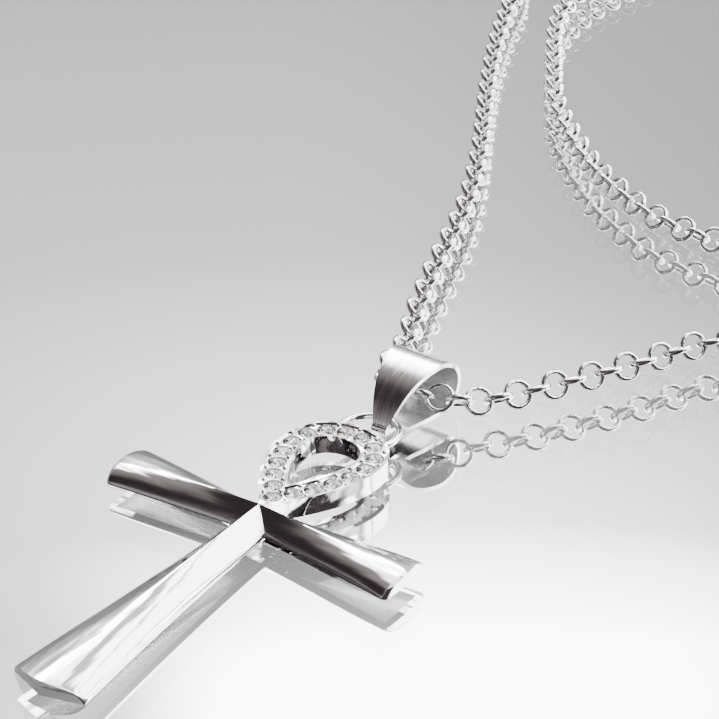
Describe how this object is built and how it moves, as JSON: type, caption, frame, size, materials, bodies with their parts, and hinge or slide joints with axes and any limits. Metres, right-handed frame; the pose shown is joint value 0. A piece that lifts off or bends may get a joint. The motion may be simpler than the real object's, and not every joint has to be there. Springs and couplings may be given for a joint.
{
  "type": "ankh pendant on a chain",
  "caption": "Cast ankh pendant with flared domed arms and a stone-set teardrop loop, hung by an eyelet and a folded sheet bail on a fine round-link neck chain.",
  "frame": {"origin": "middle of the pendant's flat back, behind the crossing of its arms and shaft", "axes": "+X to the end of the right arm as the wearer's front is seen, +Y from the crossing through the teardrop loop to the bail, +Z out of the polished front"},
  "size_m": [0.1143, 0.1765, 0.0044],
  "materials": {
    "polished_silver": "rhodium-plated silver, mirror polished on the front, left as cast inside the hollow back",
    "chain_silver": "polished silver wire links",
    "crystal": "colourless faceted stone, clear"
  },
  "bodies": {
    "root": {"ankh_body": "polished_silver", "bail": "polished_silver", "chain": "chain_silver", "clasp": "polished_silver", "stone_1": "crystal", "stone_2": "crystal", "stone_3": "crystal", "stone_4": "crystal", "stone_5": "crystal", "stone_6": "crystal", "stone_7": "crystal", "stone_8": "crystal", "stone_9": "crystal", "stone_10": "crystal", "stone_11": "crystal", "stone_12": "crystal", "stone_13": "crystal", "stone_14": "crystal", "stone_15": "crystal", "stone_16": "crystal", "stone_17": "crystal"}
  },
  "joints": []
}
